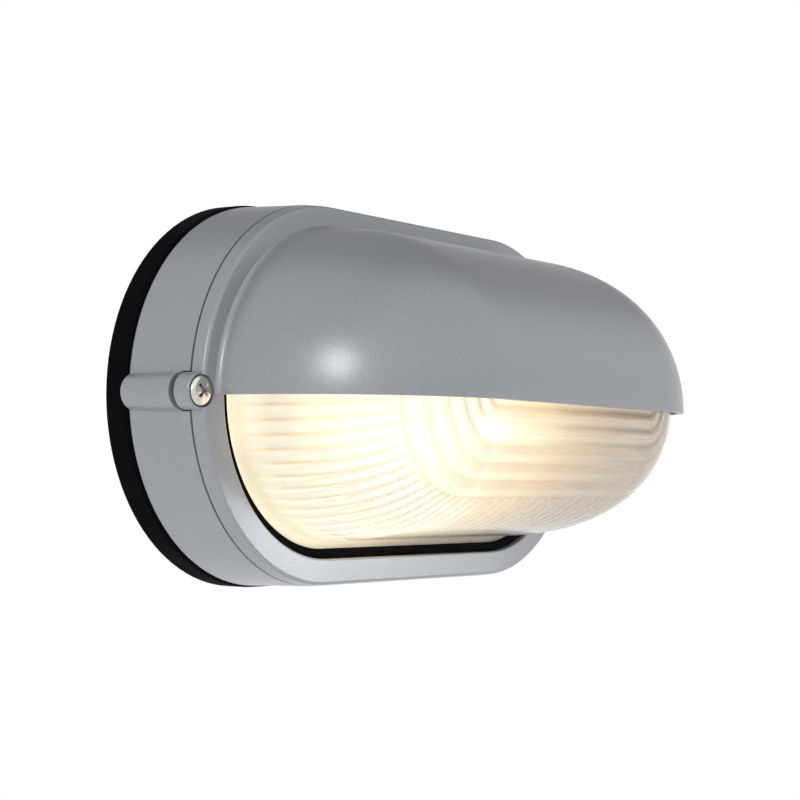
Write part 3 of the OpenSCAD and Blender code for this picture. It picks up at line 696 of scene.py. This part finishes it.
def make_lamp():
    """Bulb, cap, insulator and contact. The contact takes the cap's material."""
    bm = bmesh.new()
    axis = (0, LAMP_OUT)
    turn(bm, bulb_profile(), axis, BULB_SIDES, True)
    ends = [len(bm.faces)]
    thread(bm, axis, CAP_R, CAP_X, THREAD_END, CAP_PITCH, CAP_GROOVE, CAP_SIDES, True)
    ends.append(len(bm.faces))
    turn(bm, [(0, THREAD_END), (CONE_R, THREAD_END), (CONE_END_R, CONE_END), (0, CONE_END)],
         axis, CAP_SIDES, True)
    ends.append(len(bm.faces))
    turn(bm, [(0, TIP_START), (TIP_R, TIP_START), (TIP_R, TIP_WALL), (TIP_FACE_R, TIP_FACE), (0, TIP_FACE)],
         axis, TIP_SIDES, True)
    slots = (0, 1, 2, 1)
    for i, face in enumerate(bm.faces):
        face.material_index = slots[sum(i >= end for end in ends)]
    return smooth(to_object("lamp_skin", bm), angle=40)


# Leads
def round_bends(points, bend):
    """The route with each corner replaced by a curve."""
    route = [points[0]]
    for before, corner, after in zip(points, points[1:], points[2:]):
        into, away = before - corner, after - corner
        cut = min(bend * MM, BEND_SHARE * into.length, BEND_SHARE * away.length)
        p, q = corner + into.normalized() * cut, corner + away.normalized() * cut
        for t in (i / BEND_POINTS for i in range(BEND_POINTS + 1)):
            route.append((1 - t) ** 2 * p + 2 * t * (1 - t) * corner + t * t * q)
    return route + [points[-1]]


def holder_route(y, side):
    """From a terminal along the floor and up to one side of the holder."""
    stand = HOLDER_R + LEAD_STAND
    points = ((TERM_END - LEAD_GRIP, y, TERM_OUT), (TERM_END + LEAD_RUN, y, TERM_OUT),
              (CABLE_X, side * LEAD_LANE, LEAD_LOW),
              (LEAD_IN - 2 * LEAD_RUN, side * (HOLDER_R + LEAD_HOLE), LEAD_LOW),
              (LEAD_IN, side * stand, LEAD_LOW + LEAD_CLIMB), (LEAD_IN, side * stand, LAMP_OUT - LEAD_STAND),
              (LEAD_IN, side * (stand - LEAD_RUN), LAMP_OUT),
              (LEAD_IN, side * (HOLDER_R - 0.8 * LEAD_HOLE), LAMP_OUT))
    return [place(*p) for p in points]


def make_lead(name, route):
    bm = bmesh.new()
    rings = []
    side = None
    for i, p in enumerate(route):
        ahead = (route[min(i + 1, len(route) - 1)] - route[max(i - 1, 0)]).normalized()
        side = ahead.orthogonal() if side is None else side - side.dot(ahead) * ahead
        side.normalize()
        over = ahead.cross(side)
        angles = [2 * math.pi * k / LEAD_SIDES for k in range(LEAD_SIDES)]
        rings.append([p + LEAD_R * MM * (math.cos(a) * side + math.sin(a) * over) for a in angles])
    tube(bm, rings)
    return smooth(to_object(name, bm), angle=40)


def dress(node, material, edge):
    """A CAD piece as it is, with soft edges."""
    bm = reopen(frame["nodes"][node])
    bmesh.ops.remove_doubles(bm, verts=bm.verts, dist=CAD_WELD)
    bmesh.ops.dissolve_limit(bm, angle_limit=math.radians(FLAT_ANGLE), verts=bm.verts, edges=bm.edges)
    obj = to_object(node + "_skin", bm)
    if edge:
        bevel(obj, edge)
    stand_for(smooth(obj), node, material)


# Materials
coat = silver_coat()
rubber = simple("black_rubber", (0.0035, 0.0035, 0.0045), 0.8, scale=1400, spread=0.3, bump=0.03,
                Specular_IOR_Level=0.03)
nickel = simple("nickel_screw", (0.62, 0.60, 0.56), 0.26, metal=1.0, scale=1800, spread=0.12, bump=0.01)
zinc = simple("zinc_steel", (0.56, 0.57, 0.60), 0.34, metal=1.0, scale=1500, spread=0.14, bump=0.015)
brass = simple("brass", (0.60, 0.42, 0.15), 0.3, metal=1.0, scale=1200, spread=0.14, bump=0.015)
porcelain = simple("porcelain", (0.80, 0.78, 0.73), 0.2, scale=300, spread=0.05, Coat_Weight=0.4)
plastic = simple("terminal_plastic", (0.72, 0.70, 0.63), 0.45, scale=700, spread=0.06)
fibre = simple("fibre", (0.09, 0.035, 0.026), 0.7, scale=1500, spread=0.3, bump=0.03)
grommet = simple("grommet_rubber", (0.016, 0.016, 0.017), 0.6, scale=1200, spread=0.3, bump=0.03)
earth = simple("earth_cover", (0.10, 0.30, 0.05), 0.42, spread=0.1)
live = simple("live_cover", (0.14, 0.055, 0.02), 0.42, spread=0.1)
neutral = simple("neutral_cover", (0.03, 0.07, 0.28), 0.42, spread=0.1)
ink = simple("cap_insulator", (0.02, 0.02, 0.022), 0.25, scale=400, spread=0.2, bump=0.01)
opal = simple("lamp_envelope", (0.92, 0.88, 0.80), 0.35, scale=500, spread=0.03, bump=0.01,
              Emission_Color=(1.0, 0.86, 0.62, 1), Emission_Strength=0.88)

# Pieces
stand_for(make_cover(), "cover_casting", coat)
stand_for(make_glass(), "glass_diffuser", clear_face(), frosted_ribs())
stand_for(make_glass_gasket(), "glass_gasket", rubber)
for node, centre in SCREWS.items():
    stand_for(make_screw(node + "_skin", centre), node, nickel)
stand_for(make_lamp(), "lamp", opal, zinc, ink)

for node, material, edge in (
        ("wall_gasket", rubber, 0.4), ("base_casting", coat, 0.3), ("cable_grommet", grommet, FINE_EDGE),
        ("terminal_block", plastic, FINE_EDGE), ("terminal_sleeves", brass, FINE_EDGE),
        ("terminal_screws", zinc, FINE_EDGE), ("block_screws", zinc, FINE_EDGE),
        ("earth_screw", brass, FINE_EDGE), ("earth_lead", earth, 0),
        ("holder_bracket", zinc, FINE_EDGE), ("bracket_screws", zinc, FINE_EDGE),
        ("holder_body", porcelain, FINE_EDGE), ("holder_shell", brass, FINE_EDGE),
        ("holder_contact", brass, FINE_EDGE), ("holder_screws", zinc, FINE_EDGE),
        ("captive_washers", fibre, FINE_EDGE)):
    dress(node, material, edge)
for node, material, y, side in (("live_lead", live, TERM_PITCH, 1), ("neutral_lead", neutral, 0, -1)):
    lead = make_lead(node + "_skin", round_bends(holder_route(y, side), LEAD_BEND))
    stand_for(lead, node, material)


# Camera, lamps, floor and world
def add_camera():
    """A camera at the photo's angle."""
    az, el, roll = (math.radians(angle) for angle in (VIEW_AZ, VIEW_EL, VIEW_ROLL))
    back = Vector((math.sin(az) * math.cos(el), -math.cos(az) * math.cos(el), math.sin(el)))
    level = Vector((math.cos(az), math.sin(az), 0))
    up = back.cross(level)
    across = math.cos(roll) * level + math.sin(roll) * up
    down = math.sin(roll) * level - math.cos(roll) * up
    spot = place(0, 0, VIEW_OUT) + VIEW_DIST * back
    aside, below = ((FRAME_PX / 2 - centre) / FOCAL_PX for centre in CENTRE_PX)
    z = (back - across * aside - down * below).normalized()
    x = (across - across.dot(z) * z).normalized()
    y = z.cross(x)
    data = bpy.data.cameras.new("camera")
    data.lens = FOCAL_PX / FRAME_PX * SENSOR
    data.sensor_width = SENSOR
    data.clip_start = 0.01
    cam = bpy.data.objects.new("camera", data)
    bpy.context.scene.collection.objects.link(cam)
    cam.matrix_world = Matrix.Translation(spot) @ Matrix((x, y, z)).transposed().to_4x4()
    bpy.context.scene.camera = cam


def area(name, spot, target, power, size, height=None, colour=WHITE):
    """A round area lamp, or a rectangular one where a height is given."""
    data = bpy.data.lights.new(name, "AREA")
    data.shape = "RECTANGLE" if height else "DISK"
    data.size = size
    if height:
        data.size_y = height
    data.energy = power
    data.color = colour
    obj = bpy.data.objects.new(name, data)
    bpy.context.scene.collection.objects.link(obj)
    obj.location = spot
    obj.rotation_euler = (Vector(target) - Vector(spot)).to_track_quat("-Z", "Y").to_euler()


def add_floor():
    """A pale floor that shows white and takes the part's shadow."""
    bm = bmesh.new()
    bmesh.ops.create_grid(bm, x_segments=8, y_segments=8, size=FLOOR_SIZE)
    floor = to_object("floor", bm)
    floor.location = (0, 0, FLOOR_UP)
    m = new_material("floor_white")
    pale = m.ramp(m.noise(3, 2), [(NOISE_LOW, shade(WHITE, 0.80)), (NOISE_HIGH, shade(WHITE, 0.82))])
    m.set(Base_Color=pale, Roughness=0.8)
    seen = m.seen(m.add("ShaderNodeLightPath").outputs)
    m.show("Material Output", m.span(seen, 0.0, 1.0, GLOW_LIT, GLOW_SEEN, "LINEAR"),
           m.shader.outputs[0], m.light("ShaderNodeEmission", WHITE, FLOOR_GLOW))
    floor.data.materials.append(m.owner)


def add_world():
    """White to the camera and through glass, with a dark and a bright patch for gloss, and a soft fill.

    The patches are given by the direction of a ray, from -1 to 1 on each axis."""
    world = bpy.data.worlds.new("studio")
    bpy.context.scene.world = world
    w = Nodes(world)
    w.tree.nodes.remove(w.tree.nodes["Background"])
    path = w.add("ShaderNodeLightPath").outputs
    x, y, z = w.xyz("Generated")
    behind = w.calc("MULTIPLY", w.span(y, -0.28, 0.10, 0.0, 1.0), w.span(z, 0.12, 0.50, 0.0, 1.0))
    dark = w.calc("MULTIPLY", w.span(x, -0.2, 0.3, 0.0, -0.63), behind)
    bright = w.calc("MULTIPLY", w.span(y, -0.15, -0.45, 0.0, 0.38), w.span(z, 0.05, 0.45, 0.0, 1.0))
    gloss = w.calc("MULTIPLY", w.calc("ADD", dark, bright), path["Is Glossy Ray"])
    fill = w.light("ShaderNodeBackground", (0.96, 0.98, 1.0), w.span(x, -1.0, 1.0, 0.40, 0.22, "LINEAR"))
    white = w.light("ShaderNodeBackground", WHITE, w.calc("ADD", gloss, 1.0))
    w.show("World Output", w.seen(path), fill, white)


add_camera()
add_floor()
add_world()
area("key", (-1.03, -0.28, 0.40), target=(-0.08, -0.06, 0), power=2.5, size=0.34)
area("sweep", (0.656, -0.718, -0.231), target=(-0.05, -0.036, -0.04), power=1.6, size=0.38, height=0.18,
     colour=(0.94, 0.97, 1.0))
bpy.context.scene.view_settings.view_transform = "Standard"
